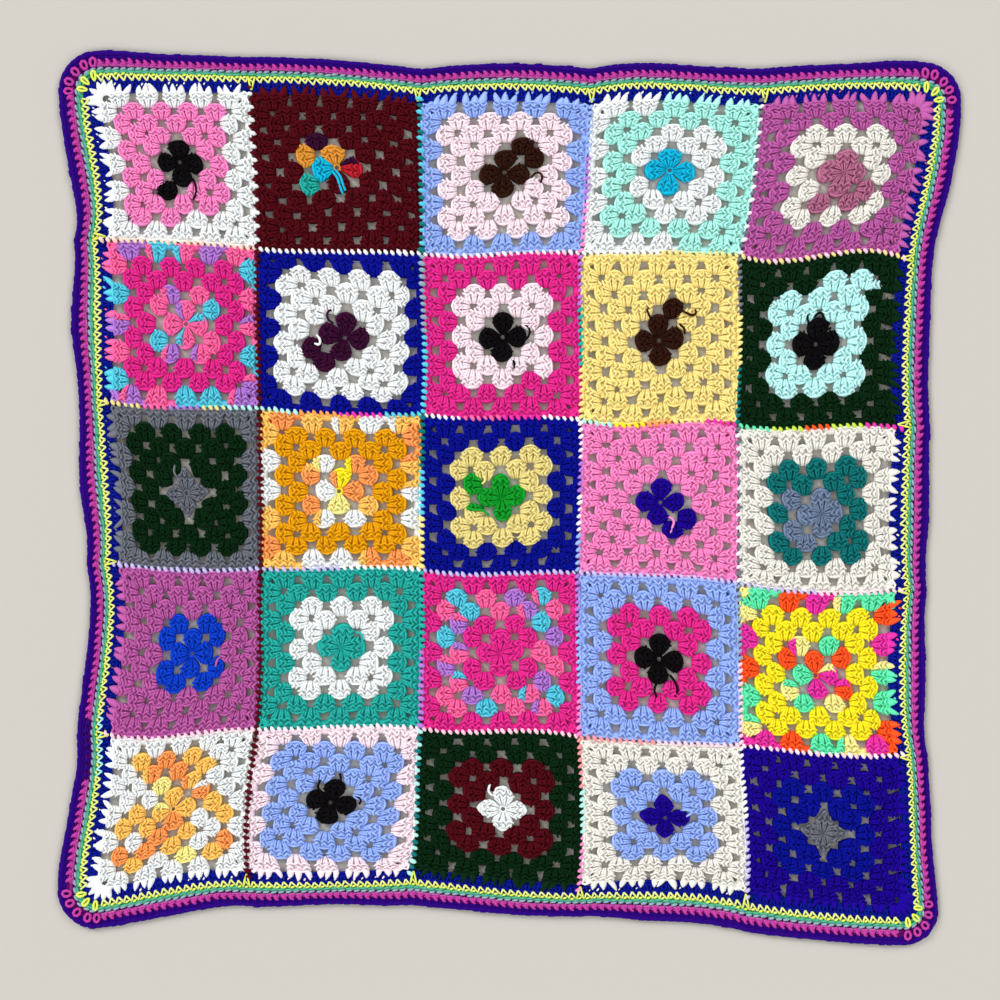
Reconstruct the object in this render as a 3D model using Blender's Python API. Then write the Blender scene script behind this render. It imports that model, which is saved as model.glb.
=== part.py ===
"""Granny square blanket laid flat: 25 crocheted squares sewn together inside a border of five rounds.

Run with blender --background --python part.py, or from Blender's text editor.
Metres, +Z up. X runs along a row of squares and Y from the bottom row to the top row.
The origin is the middle of the blanket's underside. Tables are in millimetres.
"""

import math
import random

import bmesh
import bpy
from mathutils import Vector

MM = 0.001
ROWS = 5
COLUMNS = 5

SQUARE_EDGE_THICK = 3.0  # where a square meets its seam
SQUARE_MIDDLE_THICK = 4.1  # over the worked-up middle rounds
SQUARE_UNEVEN = 0.25  # how far the hand-worked top wanders
SQUARE_STEPS = 6  # facets along one side of a square
SHARED_GAP = 0.3  # clear space between two neighbouring solids
CORNER_STEPS = 2  # facets round a corner of the border
ROUND_SHOULDER_THICK = 2.6
ROUND_CREST_THICK = 4.0

# The squares' corners, x and y, from the left to the right of each seam line.
CORNERS = (
    ((-383, 383), (-239, 383), (-80, 372), (81, 371), (241, 371), (394, 372)),  # top edge
    ((-375, 243), (-232, 234), (-78, 230), (71, 230), (220, 228), (371, 227)),
    ((-371, 91), (-230, 85), (-77, 79), (71, 74), (218, 69), (368, 67)),
    ((-364, -61), (-229, -65), (-78, -66), (68, -69), (219, -79), (368, -86)),
    ((-371, -221), (-233, -216), (-79, -215), (69, -223), (221, -231), (370, -240)),
    ((-384, -368), (-241, -351), (-88, -348), (69, -363), (227, -370), (376, -384)),  # bottom edge
)

# How far each seam bows from straight at a third and at two thirds of its length.
# Across: one entry a column, left to right, + is up.
BOWS_ACROSS = (
    ((1.5, 1.0), (2.5, 2.5), (4.0, 4.0), (6.0, 3.0), (4.0, 5.0)),  # top edge
    ((1.5, 2.0), (-1.0, 0.0), (-2.0, 1.0), (1.5, 1.5), (-4.0, 4.0)),
    ((-3.0, -1.5), (-2.5, -2.0), (-1.5, 1.0), (-3.0, 2.0), (-2.5, 1.0)),
    ((-3.5, -3.5), (-0.5, 1.5), (-4.0, -1.5), (1.0, 2.5), (-5.0, -5.0)),
    ((-4.5, -1.0), (0.5, 2.5), (-1.0, 3.0), (-1.5, -1.0), (-2.5, -3.5)),
    ((2.0, 4.5), (-2.5, -2.5), (-2.0, -2.5), (5.0, 6.5), (-2.5, -2.5)),  # bottom edge
)
# Down: one entry a row, top to bottom, + is right.
BOWS_DOWN = (
    ((3.0, 7.5), (3.0, 2.0), (3.0, 4.5), (7.0, 4.0), (3.5, 0.0)),  # left edge
    ((0.5, 1.0), (-1.0, -0.5), (0.0, 0.5), (1.0, 2.0), (-3.0, -4.0)),
    ((0.5, 1.0), (1.0, 2.5), (-0.5, -0.5), (0.5, 0.5), (0.0, 2.0)),
    ((0.0, 1.5), (-0.5, 0.5), (1.0, 0.5), (0.0, 0.5), (3.0, 3.5)),
    ((2.0, 3.5), (1.0, 1.0), (1.0, 0.5), (0.0, 0.5), (1.0, 2.0)),
    ((3.5, 1.0), (-3.5, -4.5), (-4.0, -4.5), (-6.0, -6.5), (0.5, 0.0)),  # right edge
)

# The whole border's width along each side: at its corner, then at the middle and the far end of
# each square in turn. The sides go round clockwise.
BORDER_WIDTHS = {
    "top": (38, 33, 32, 32, 31.5, 33, 33, 32, 33, 32, 38),  # left to right
    "right": (34, 34, 31, 33.5, 31.5, 35, 28, 33, 26.5, 27, 30.5),  # top to bottom
    "bottom": (35, 35, 36.5, 36.5, 29, 30.5, 33, 28, 31.5, 35, 35),  # right to left
    "left": (36, 34, 31, 31, 29, 36, 29, 37, 30, 37, 36),  # bottom to top
}
OUTWARD_DEGREES = {"top": 90, "right": 0, "bottom": -90, "left": -180}

# Border rounds, inside out: node, where it starts and ends as a share of the border's width, colour.
ROUNDS = (
    ("border_blue", 0.00, 0.31, (0.003, 0.010, 0.260)),
    ("border_yellow", 0.31, 0.49, (0.800, 0.905, 0.145)),
    ("border_green", 0.49, 0.62, (0.050, 0.390, 0.195)),
    ("border_magenta", 0.62, 0.80, (0.745, 0.050, 0.260)),
    ("border_violet", 0.80, 1.00, (0.025, 0.001, 0.238)),
)

# The yarn of each square's outer round, row by row.
SQUARE_COLOURS = (
    ("white", "burgundy", "periwinkle", "mint", "orchid"),
    ("hot_pink", "royal_blue", "hot_pink", "butter", "dark_green"),
    ("grey", "mustard", "royal_blue", "pink", "off_white"),
    ("orchid", "sea_green", "hot_pink", "periwinkle", "yellow"),
    ("white", "pale_pink", "dark_green", "off_white", "violet"),
)
YARNS = {
    "white": (0.890, 0.922, 0.906),
    "off_white": (0.831, 0.807, 0.716),
    "burgundy": (0.076, 0.001, 0.005),
    "periwinkle": (0.258, 0.381, 0.871),
    "mint": (0.392, 0.871, 0.716),
    "orchid": (0.539, 0.082, 0.347),
    "hot_pink": (0.863, 0.014, 0.238),
    "royal_blue": (0.003, 0.012, 0.262),
    "butter": (0.922, 0.738, 0.238),
    "dark_green": (0.001, 0.018, 0.005),
    "grey": (0.195, 0.175, 0.216),
    "mustard": (0.745, 0.323, 0.003),
    "pink": (0.930, 0.202, 0.527),
    "sea_green": (0.014, 0.429, 0.296),
    "yellow": (0.956, 0.791, 0.010),
    "pale_pink": (0.965, 0.768, 0.855),
    "violet": (0.019, 0.001, 0.296),
}


def remove_everything():
    for obj in list(bpy.data.objects):
        bpy.data.objects.remove(obj, do_unlink=True)


def bow(pair, t):
    """A cubic that is 0 at both ends and takes the pair's values at one and two thirds."""
    first = pair[0] * 13.5 * t * (t - 2 / 3) * (t - 1)
    second = pair[1] * 13.5 * t * (t - 1 / 3) * (t - 1)
    return first - second


def seam_across(line, column):
    """The points of one seam, left to right."""
    start = Vector(CORNERS[line][column])
    end = Vector(CORNERS[line][column + 1])
    points = []
    for step in range(SQUARE_STEPS + 1):
        t = step / SQUARE_STEPS
        points.append(start.lerp(end, t) + Vector((0, bow(BOWS_ACROSS[line][column], t))))
    return points


def seam_down(line, row):
    """The points of one seam, top to bottom."""
    start = Vector(CORNERS[row][line])
    end = Vector(CORNERS[row + 1][line])
    points = []
    for step in range(SQUARE_STEPS + 1):
        t = step / SQUARE_STEPS
        points.append(start.lerp(end, t) + Vector((bow(BOWS_DOWN[line][row], t), 0)))
    return points


def inset_loop(loop, distance):
    """A clockwise loop moved inwards by the distance, with mitred corners."""
    moved = []
    for i, point in enumerate(loop):
        before = (point - loop[i - 1]).normalized()
        after = (loop[(i + 1) % len(loop)] - point).normalized()
        inward_before = Vector((before.y, -before.x))
        inward_after = Vector((after.y, -after.x))
        mitre = (inward_before + inward_after).normalized()
        moved.append(point + mitre * distance / mitre.dot(inward_after))
    return moved


def across_patch(top, right, bottom, left, u, v):
    """A point inside four edges: u from left to right and v from top to bottom, as facet counts."""
    s = u / SQUARE_STEPS
    t = v / SQUARE_STEPS
    ruled_down = top[u].lerp(bottom[u], t)
    ruled_across = left[v].lerp(right[v], s)
    corners = top[0].lerp(top[-1], s).lerp(bottom[0].lerp(bottom[-1], s), t)
    return ruled_down + ruled_across - corners


def square_thickness(u, v, chance):
    """Thin at the seams and full over the middle rounds, a little uneven."""
    s = 2 * u / SQUARE_STEPS - 1
    t = 2 * v / SQUARE_STEPS - 1
    fullness = (1 - s * s) * (1 - t * t)
    rise = SQUARE_MIDDLE_THICK - SQUARE_EDGE_THICK
    if fullness == 0:
        return SQUARE_EDGE_THICK
    return SQUARE_EDGE_THICK + rise * math.sqrt(fullness) + chance.uniform(-1, 1) * SQUARE_UNEVEN


def new_object(name, mesh_data, colour):
    mesh = bpy.data.meshes.new(name)
    mesh_data.to_mesh(mesh)
    mesh_data.free()
    obj = bpy.data.objects.new(name, mesh)
    bpy.context.scene.collection.objects.link(obj)
    material = bpy.data.materials.new(name + "_yarn")
    material.use_nodes = True
    shader = material.node_tree.nodes["Principled BSDF"]
    shader.inputs["Base Color"].default_value = (*colour, 1)
    shader.inputs["Roughness"].default_value = 0.85
    shader.inputs["Metallic"].default_value = 0
    mesh.materials.append(material)
    return obj


def add_square(row, column, origin, chance):
    """One square: a flat underside, upright edges and an uneven top."""
    top = seam_across(row, column)
    right = seam_down(column + 1, row)
    bottom = seam_across(row + 1, column)
    left = seam_down(column, row)
    clockwise = top[:-1] + right[:-1] + bottom[:0:-1] + left[:0:-1]
    loop = inset_loop(clockwise, SHARED_GAP / 2)
    n = SQUARE_STEPS
    top = loop[0:n + 1]
    right = loop[n:2 * n + 1]
    bottom = loop[2 * n:3 * n + 1][::-1]
    left = (loop[3 * n:] + loop[:1])[::-1]

    mesh = bmesh.new()
    grid = []
    for v in range(n + 1):
        line = []
        for u in range(n + 1):
            place = across_patch(top, right, bottom, left, u, v) - origin
            line.append(mesh.verts.new((*(place * MM), square_thickness(u, v, chance) * MM)))
        grid.append(line)
    for v in range(n):
        for u in range(n):
            mesh.faces.new((grid[v + 1][u], grid[v + 1][u + 1], grid[v][u + 1], grid[v][u]))
    rim = grid[0][:-1] + [line[-1] for line in grid[:-1]] + grid[-1][:0:-1]
    rim += [line[0] for line in grid[:0:-1]]
    base = [mesh.verts.new((vert.co.x, vert.co.y, 0)) for vert in rim]
    for i in range(len(rim)):
        j = (i + 1) % len(rim)
        mesh.faces.new((rim[i], rim[j], base[j], base[i]))
    mesh.faces.new(base)
    name = f"square_r{row + 1}_c{column + 1}"
    return new_object(name, mesh, YARNS[SQUARE_COLOURS[row][column]])


def width_at(side, distance):
    """The border's width at a distance counted in squares from the side's start."""
    widths = BORDER_WIDTHS[side]
    place = min(distance * 2, len(widths) - 1.001)
    index = int(place)
    share = (1 - math.cos(math.pi * (place - index))) / 2
    return widths[index] + (widths[index + 1] - widths[index]) * share


def side_points(side):
    """The squares' outer edge on one side, going clockwise, corner to corner."""
    if side == "top":
        seams = [seam_across(0, column) for column in range(COLUMNS)]
    elif side == "right":
        seams = [seam_down(COLUMNS, row) for row in range(ROWS)]
    elif side == "bottom":
        seams = [seam_across(ROWS, column)[::-1] for column in reversed(range(COLUMNS))]
    else:
        seams = [seam_down(0, row)[::-1] for row in reversed(range(ROWS))]
    points = [seams[0][0]]
    for seam in seams:
        points += seam[1:]
    return points


def border_stations():
    """Clockwise all the way round: a point on the squares' edge, the way out and the width there."""
    sides = list(BORDER_WIDTHS)
    stations = []
    for number, side in enumerate(sides):
        angle = OUTWARD_DEGREES[side]
        for step, point in enumerate(side_points(side)):
            way = Vector((math.cos(math.radians(angle)), math.sin(math.radians(angle))))
            stations.append((point, way, width_at(side, step / SQUARE_STEPS)))
        corner = stations[-1][0]
        width_before = BORDER_WIDTHS[side][-1]
        width_after = BORDER_WIDTHS[sides[(number + 1) % len(sides)]][0]
        for step in range(1, CORNER_STEPS):
            share = step / CORNER_STEPS
            turned = math.radians(angle - 90 * share)
            way = Vector((math.cos(turned), math.sin(turned)))
            stations.append((corner, way, width_before + (width_after - width_before) * share))
    return stations


def add_round(name, start, end, colour, stations, origin):
    """One border round: a ring with a flat underside, low shoulders and a crest along its middle."""
    mesh = bmesh.new()
    sections = []
    for point, way, width in stations:
        inner = width * start + SHARED_GAP / 2
        outer = width * end - SHARED_GAP / 2
        profile = (
            (inner, 0),
            (outer, 0),
            (outer, ROUND_SHOULDER_THICK),
            ((inner + outer) / 2, ROUND_CREST_THICK),
            (inner, ROUND_SHOULDER_THICK),
        )
        section = []
        for distance, height in profile:
            place = point + way * distance - origin
            section.append(mesh.verts.new((*(place * MM), height * MM)))
        sections.append(section)
    for i, section in enumerate(sections):
        following = sections[(i + 1) % len(sections)]
        for j in range(len(section)):
            k = (j + 1) % len(section)
            mesh.faces.new((section[j], section[k], following[k], following[j]))
    return new_object(name, mesh, colour)


def main():
    remove_everything()
    stations = border_stations()
    outline = [point + way * width for point, way, width in stations]
    xs = [point.x for point in outline]
    ys = [point.y for point in outline]
    origin = Vector(((min(xs) + max(xs)) / 2, (min(ys) + max(ys)) / 2))
    chance = random.Random(25)
    for row in range(ROWS):
        for column in range(COLUMNS):
            add_square(row, column, origin, chance)
    for name, start, end, colour in ROUNDS:
        add_round(name, start, end, colour, stations, origin)


main()
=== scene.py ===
import math

import bpy
import numpy as np
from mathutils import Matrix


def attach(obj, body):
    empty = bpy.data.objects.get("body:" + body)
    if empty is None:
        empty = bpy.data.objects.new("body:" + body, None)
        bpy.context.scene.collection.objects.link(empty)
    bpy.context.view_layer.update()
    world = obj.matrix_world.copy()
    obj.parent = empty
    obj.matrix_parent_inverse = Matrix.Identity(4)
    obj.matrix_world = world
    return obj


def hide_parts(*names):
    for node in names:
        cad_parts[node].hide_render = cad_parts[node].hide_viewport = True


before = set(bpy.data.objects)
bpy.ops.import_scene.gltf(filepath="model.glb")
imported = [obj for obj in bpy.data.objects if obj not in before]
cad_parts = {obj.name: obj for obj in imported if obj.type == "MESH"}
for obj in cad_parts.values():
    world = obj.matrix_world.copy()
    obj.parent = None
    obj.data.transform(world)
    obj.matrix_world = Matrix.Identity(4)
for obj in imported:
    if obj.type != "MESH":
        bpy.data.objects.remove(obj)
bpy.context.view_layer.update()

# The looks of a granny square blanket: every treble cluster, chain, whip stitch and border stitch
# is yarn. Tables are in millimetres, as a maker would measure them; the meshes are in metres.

MM = 0.001
ROWS = 5
COLUMNS = 5
HALF = 75.0  # half a square, from its middle to its seam
GAP_RADIUS = (0.0, 16.0, 29.0, 42.0, 54.5, 68.0)  # the open spaces of rounds 0 to 5
STITCH_PITCH = 7.1  # from one border stitch to the next
WHIP_PITCH = 6.2  # from one whip stitch to the next

# ---------------------------------------------------------------- yarns

# The yarn low in a stitch and in the hollows between its loops gets less light than the loops do; that
# shade is painted into darker copies of the yarn's colour, one for the body and one for the hollows.
BODY_PAINTED_SHADE = 0.86
HOLLOW_PAINTED_SHADE = 0.4
FIBRE_SPACING = 1.3 * MM  # coarser than the real plies and fibres, so that they show
FIBRE_DEPTH = 0.6 * MM
# Worsted acrylic yarn: name, colour. Matt and a little woolly, with a soft sheen at its edges.
YARNS = {
    "black": "#0b080b", "pink": "#f98fcb", "hot_pink": "#e42e94", "white": "#f1f4f4",
    "off_white": "#efece4", "pale_pink": "#fce8f0", "periwinkle": "#9db8f6", "burgundy": "#520612",
    "brown": "#31150b", "turquoise": "#12b8dc", "mint": "#b4f3e8", "pale_aqua": "#c4f6f4",
    "dusty_rose": "#b46c8c", "orchid": "#bc5ea6", "royal_blue": "#050f94", "plum": "#3a0a30",
    "butter": "#fae592", "cream": "#ecdc90", "dark_green": "#05270f", "grey": "#6e727c",
    "slate": "#7284a0", "teal": "#107474", "sea_green": "#28aea4", "bright_blue": "#0a42cc",
    "violet": "#1c0092", "mustard": "#e8a60c", "orange": "#fca45c", "golden": "#fecb68",
    "yellow": "#fdec2a", "neon_mint": "#66ecb4", "neon_orange": "#ff5a24", "magenta": "#ea38ac",
    "pale_yellow": "#fbf09a", "coral": "#fa6ca8", "lilac": "#b47cd4", "aqua": "#5acce2",
    "green": "#12a02c", "gold": "#e09a3a", "red": "#c22030", "lime": "#c8e64a",
    "lavender": "#c4bcec", "salmon": "#f79a9c", "blush": "#f8cfdc", "peach": "#f8d8c0",
    "edge_blue": "#081890", "edge_yellow": "#e6f064", "edge_cream": "#e8ee8e", "edge_leaf": "#62ac74",
    "edge_green": "#4eae8a", "edge_grey": "#90a8b8", "edge_rose": "#c86aa8", "edge_magenta": "#bc3e9e",
    # The darker berry magenta is the magenta yarn darkened: painted shade between the magenta flames.
    "edge_plum": "#5c0860", "edge_berry": "#8e2480", "edge_violet": "#2a0076",
}


def linear(hex_colour):
    """An sRGB hex colour as linear red, green, blue and alpha."""
    parts = [int(hex_colour[i:i + 2], 16) / 255 for i in (1, 3, 5)]
    curve = [c / 12.92 if c <= 0.04045 else ((c + 0.055) / 1.055) ** 2.4 for c in parts]
    return (*curve, 1)


def add_node(tree, kind, settings=None, links=None):
    """One node with its settings; links maps its inputs to other nodes' outputs."""
    node = tree.nodes.new(kind)
    for name, value in (settings or {}).items():
        if name in node.inputs:
            node.inputs[name].default_value = value
        else:
            setattr(node, name, value)
    for name, output in (links or {}).items():
        tree.links.new(output, node.inputs[name])
    return node


def worsted_yarn(name):
    """Spun acrylic: dull, with a few loose fibres that catch the light at grazing angles."""
    # A second word in the name gives a darker copy of the yarn: painted shade, for a stitch's body or for
    # the hollows between its loops.
    yarn, _, depth = name.partition(" ")
    shade = {"": 1.0, "body": BODY_PAINTED_SHADE, "deep": HOLLOW_PAINTED_SHADE}[depth]
    colour = tuple(c * shade for c in linear(YARNS[yarn])[:3]) + (1,)
    material = bpy.data.materials.new("worsted_acrylic_" + name.replace(" ", "_"))
    material.use_nodes = True
    tree = material.node_tree
    shader = tree.nodes["Principled BSDF"]
    shader.inputs["Base Color"].default_value = colour
    shader.inputs["Roughness"].default_value = 0.9
    shader.inputs["Specular IOR Level"].default_value = 0.08
    shader.inputs["Sheen Weight"].default_value = 0.08
    shader.inputs["Sheen Roughness"].default_value = 0.5
    shader.inputs["Sheen Tint"].default_value = colour
    place = add_node(tree, "ShaderNodeTexCoord")
    # Plies and loose fibres.
    fibres = add_node(tree, "ShaderNodeTexNoise",
                      {"Scale": 1 / FIBRE_SPACING, "Detail": 2.0, "Roughness": 0.6},
                      {"Vector": place.outputs["Object"]})
    bump = add_node(tree, "ShaderNodeBump", {"Strength": 0.6, "Distance": FIBRE_DEPTH},
                    {"Height": fibres.outputs["Fac"]})
    tree.links.new(bump.outputs["Normal"], shader.inputs["Normal"])
    return material


MATERIALS = {}


def yarn_material(name):
    """The material of a yarn, made the first time that it is asked for."""
    if name not in MATERIALS:
        MATERIALS[name] = worsted_yarn(name)
    return MATERIALS[name]


# ---------------------------------------------------------------- where the squares lie

CORNERS = np.array((
    ((-383, 383), (-239, 383), (-80, 372), (81, 371), (241, 371), (394, 372)),
    ((-375, 243), (-232, 234), (-78, 230), (71, 230), (220, 228), (371, 227)),
    ((-371, 91), (-230, 85), (-77, 79), (71, 74), (218, 69), (368, 67)),
    ((-364, -61), (-229, -65), (-78, -66), (68, -69), (219, -79), (368, -86)),
    ((-371, -221), (-233, -216), (-79, -215), (69, -223), (221, -231), (370, -240)),
    ((-384, -368), (-241, -351), (-88, -348), (69, -363), (227, -370), (376, -384)),
), float)
BOWS_ACROSS = (
    ((1.5, 1.0), (2.5, 2.5), (4.0, 4.0), (6.0, 3.0), (4.0, 5.0)),
    ((1.5, 2.0), (-1.0, 0.0), (-2.0, 1.0), (1.5, 1.5), (-4.0, 4.0)),
    ((-3.0, -1.5), (-2.5, -2.0), (-1.5, 1.0), (-3.0, 2.0), (-2.5, 1.0)),
    ((-3.5, -3.5), (-0.5, 1.5), (-4.0, -1.5), (1.0, 2.5), (-5.0, -5.0)),
    ((-4.5, -1.0), (0.5, 2.5), (-1.0, 3.0), (-1.5, -1.0), (-2.5, -3.5)),
    ((2.0, 4.5), (-2.5, -2.5), (-2.0, -2.5), (5.0, 6.5), (-2.5, -2.5)),
)
BOWS_DOWN = (
    ((3.0, 7.5), (3.0, 2.0), (3.0, 4.5), (7.0, 4.0), (3.5, 0.0)),
    ((0.5, 1.0), (-1.0, -0.5), (0.0, 0.5), (1.0, 2.0), (-3.0, -4.0)),
    ((0.5, 1.0), (1.0, 2.5), (-0.5, -0.5), (0.5, 0.5), (0.0, 2.0)),
    ((0.0, 1.5), (-0.5, 0.5), (1.0, 0.5), (0.0, 0.5), (3.0, 3.5)),
    ((2.0, 3.5), (1.0, 1.0), (1.0, 0.5), (0.0, 0.5), (1.0, 2.0)),
    ((3.5, 1.0), (-3.5, -4.5), (-4.0, -4.5), (-6.0, -6.5), (0.5, 0.0)),
)
BORDER_WIDTHS = {
    "top": (38, 33, 32, 32, 31.5, 33, 33, 32, 33, 32, 38),
    "right": (34, 34, 31, 33.5, 31.5, 35, 28, 33, 26.5, 27, 30.5),
    "bottom": (35, 35, 36.5, 36.5, 29, 30.5, 33, 28, 31.5, 35, 35),
    "left": (36, 34, 31, 31, 29, 36, 29, 37, 30, 37, 36),
}
OUTWARD_DEGREES = {"top": 90, "right": 0, "bottom": -90, "left": -180}
STEPS_A_SQUARE = 24  # points along the outline beside one square
SIDE_STEPS = COLUMNS * STEPS_A_SQUARE
CORNER_STEPS = 13
CUBIC_PEAK = 13.5  # brings each cubic of bow() to 1 at its peak


def bow(pair, t):
    """How far a seam bows aside at t, from its two bows a third and two thirds of the way."""
    first = pair[0] * CUBIC_PEAK * t * (t - 2 / 3) * (t - 1)
    second = pair[1] * CUBIC_PEAK * t * (t - 1 / 3) * (t - 1)
    return first - second


def seam_across(line, column, t):
    """Points along a seam, from its left end at t = 0 to its right end at t = 1."""
    t = np.asarray(t, float)[..., None]
    straight = CORNERS[line, column] * (1 - t) + CORNERS[line, column + 1] * t
    return straight + np.concatenate([t * 0, bow(BOWS_ACROSS[line][column], t)], -1)


def seam_down(line, row, t):
    """Points along a seam, from its top end at t = 0 to its bottom end at t = 1."""
    t = np.asarray(t, float)[..., None]
    straight = CORNERS[row, line] * (1 - t) + CORNERS[row + 1, line] * t
    return straight + np.concatenate([bow(BOWS_DOWN[line][row], t), t * 0], -1)


def on_square_plain(row, column, x, y):
    """Where a point of an even square, in mm from its centre, lies in the blanket."""
    s = (x + HALF) / (2 * HALF)
    t = (HALF - y) / (2 * HALF)
    top, bottom = seam_across(row, column, s), seam_across(row + 1, column, s)
    left, right = seam_down(column, row, t), seam_down(column + 1, row, t)
    s, t = s[..., None], t[..., None]
    corner = ((CORNERS[row, column] * (1 - s) + CORNERS[row, column + 1] * s) * (1 - t)
              + (CORNERS[row + 1, column] * (1 - s) + CORNERS[row + 1, column + 1] * s) * t)
    return top * (1 - t) + bottom * t + left * (1 - s) + right * s - corner


def on_square(row, column, x, y):
    """Where a point of the square as worked, in mm from its middle, lies in the blanket."""
    pull_x, pull_y, turn = PULLS[row + 1, column + 1]
    fade = np.clip(1 - np.maximum(abs(x), abs(y)) / HALF, 0, 1)
    angle = math.radians(turn) * fade
    x, y = (x * np.cos(angle) - y * np.sin(angle) + pull_x * fade,
            x * np.sin(angle) + y * np.cos(angle) + pull_y * fade)
    return on_square_plain(row, column, x, y)


def width_at(side, distance):
    """The border's width at a distance counted in squares from the side's start."""
    widths = BORDER_WIDTHS[side]
    place = min(distance * 2, len(widths) - 1.001)
    index = int(place)
    share = (1 - math.cos(math.pi * (place - index))) / 2
    return widths[index] + (widths[index + 1] - widths[index]) * share


def border_stations():
    """Clockwise round the squares' outer edge: points, and how far out the border goes there."""
    points, reach = [], []
    sides = list(BORDER_WIDTHS)
    t = np.arange(STEPS_A_SQUARE) / STEPS_A_SQUARE
    for number, side in enumerate(sides):
        angle = OUTWARD_DEGREES[side]
        seams = {"top": [seam_across(0, i, t) for i in range(COLUMNS)],
                 "right": [seam_down(COLUMNS, i, t) for i in range(ROWS)],
                 "bottom": [seam_across(ROWS, i, 1 - t) for i in reversed(range(COLUMNS))],
                 "left": [seam_down(0, i, 1 - t) for i in reversed(range(ROWS))]}[side]
        line = np.concatenate(seams)
        way = np.array((math.cos(math.radians(angle)), math.sin(math.radians(angle))))
        for i, point in enumerate(line):
            points.append(point)
            reach.append(way * width_at(side, i / STEPS_A_SQUARE))
        corner = CORNERS[(0, ROWS, ROWS, 0)[number], (COLUMNS, COLUMNS, 0, 0)[number]]
        before = BORDER_WIDTHS[side][-1]
        after = BORDER_WIDTHS[sides[(number + 1) % 4]][0]
        for i in range(CORNER_STEPS):
            share = i / CORNER_STEPS
            turned = math.radians(angle - 90 * share)
            points.append(corner)
            reach.append(np.array((math.cos(turned), math.sin(turned)))
                         * (before + (after - before) * share))
    return np.array(points), np.array(reach)


EDGE, REACH = border_stations()
OUTLINE = EDGE + REACH
ORIGIN = (OUTLINE.min(0) + OUTLINE.max(0)) / 2


class Round:
    """One round of the border, measured along its own middle."""

    def __init__(self, start, end, nominal):
        self.start, self.end, self.nominal = start, end, nominal
        middle = EDGE + REACH * (start + end) / 2
        middle = np.concatenate([middle, middle[:1]])
        self.at = np.concatenate([[0], np.cumsum(np.linalg.norm(np.diff(middle, axis=0), axis=1))])
        self.length = self.at[-1]
        self.edge = np.concatenate([EDGE, EDGE[:1]])
        self.reach = np.concatenate([REACH, REACH[:1]])

    def place(self, along, out):
        """Where a point lies: along is in mm round the border, out in mm from the round's start."""
        along = np.mod(along, self.length)
        share = self.start + (self.end - self.start) * out / self.nominal
        point = [np.interp(along, self.at, self.edge[:, k])
                 + np.interp(along, self.at, self.reach[:, k]) * share for k in (0, 1)]
        return np.stack(point, -1)


# ---------------------------------------------------------------- stitches

def taken():
    """The active object's points and faces; the object itself is removed."""
    mesh = bpy.context.object.data
    points = np.array([v.co for v in mesh.vertices])
    faces = np.array([list(p.vertices) for p in mesh.polygons])
    bpy.data.objects.remove(bpy.context.object, do_unlink=True)
    return points, faces


def strand(route, thickness, steps=1):
    """A yarn along a smooth route of (x, y, z, share of the thickness), ends closed, as a mesh."""
    bpy.ops.object.select_all(action="DESELECT")
    bpy.ops.curve.primitive_bezier_curve_add()
    made = bpy.context.object
    curve = made.data
    curve.dimensions = "3D"
    spline = curve.splines[0]
    spline.bezier_points.add(len(route) - 2)
    for point, (x, y, z, share) in zip(spline.bezier_points, route):
        point.co = (x, y, z)
        point.handle_left_type = point.handle_right_type = "AUTO"
        point.radius = share
    curve.resolution_u = steps
    curve.bevel_depth = thickness / 2
    curve.bevel_resolution = 0
    curve.use_fill_caps = True
    bpy.ops.object.convert(target="MESH")
    bpy.ops.object.mode_set(mode="EDIT")
    bpy.ops.mesh.select_all(action="SELECT")
    bpy.ops.mesh.remove_doubles(threshold=0.001)
    bpy.ops.mesh.tris_convert_to_quads(face_threshold=math.pi, shape_threshold=math.pi)
    bpy.ops.object.mode_set(mode="OBJECT")
    return taken()


def joined(*parts):
    """Several (points, faces) meshes as one."""
    points, faces, count = [], [], 0
    for p, f in parts:
        points.append(p)
        faces.append(f + count)
        count += len(p)
    return np.concatenate(points), np.concatenate(faces)


def swung(x, y, angle):
    """x and y turned anticlockwise about the origin."""
    return (x * math.cos(angle) - y * math.sin(angle), x * math.sin(angle) + y * math.cos(angle))


def flattened(part, share):
    """A strand pressed down to a share of its thickness, about its own mean height."""
    points, faces = part
    middle = points[:, 2].mean()
    points = points.copy()
    points[:, 2] = middle + (points[:, 2] - middle) * share
    return points, faces


CLUSTER_HALF = 8.9  # half the width of a group of three trebles as drawn below
CLUSTER_LENGTH = 17.0
TREBLES = (-5.95, 0.0, 5.95)  # the middles of the three posts
YARN_BOUND = 0.3  # where one treble's part of the body gives way to the next, as a share of its half width
LOOP_THICKNESS = 2.3
COLUMN_PLACES = (-1, -0.94, -0.67, -0.34, 0, 0.34, 0.67, 0.94, 1)
ROW_PLACES = (0, 0.06, 0.3, 0.5, 0.74, 0.94, 1)
# The soft surface of three trebles side by side, up from the foot, at the column places.
ROW_HEIGHTS = (
    (0.8, 0.8, 0.8, 0.8, 0.8, 0.8, 0.8, 0.8, 0.8),
    (0.8, 2.8, 3.8, 2.9, 3.9, 2.9, 3.8, 2.8, 0.8),
    (0.8, 4.0, 5.0, 3.8, 5.2, 3.8, 5.0, 4.0, 0.8),
    (0.8, 4.3, 5.4, 4.2, 5.7, 4.2, 5.4, 4.3, 0.8),
    (0.8, 4.3, 5.5, 4.2, 5.8, 4.2, 5.5, 4.3, 0.8),
    (0.8, 3.2, 4.4, 4.0, 4.6, 4.0, 4.4, 3.2, 0.8),
    (0.8, 0.8, 0.8, 0.8, 0.8, 0.8, 0.8, 0.8, 0.8),
)
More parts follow.
